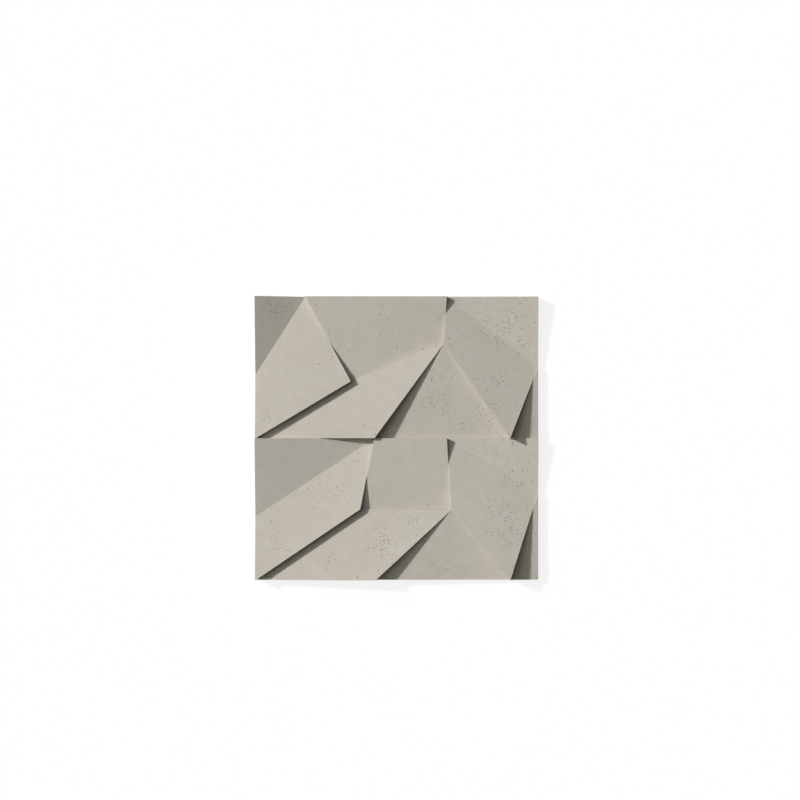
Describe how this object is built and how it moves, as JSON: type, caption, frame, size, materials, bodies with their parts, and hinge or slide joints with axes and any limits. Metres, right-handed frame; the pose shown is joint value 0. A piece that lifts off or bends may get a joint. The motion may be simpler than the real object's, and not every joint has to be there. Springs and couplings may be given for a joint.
{
  "type": "faceted concrete wall panel",
  "caption": "Square wall panel cast in concrete, with a flat back for bonding to a wall and a relief of tilted facets and sharp upright steps on its face.",
  "frame": {"origin": "centre of the flat back face, which lies on the floor", "axes": "+Z out of the relief, away from the back; +Y towards the panel's top edge as it hangs on a wall; +X to the right, seen from the front"},
  "size_m": [0.6, 0.6, 0.055],
  "materials": {
    "concrete": "matte, smooth from the mould, pale grey-beige, with small air holes"
  },
  "bodies": {
    "root": {"wall_panel": "concrete"}
  },
  "joints": []
}
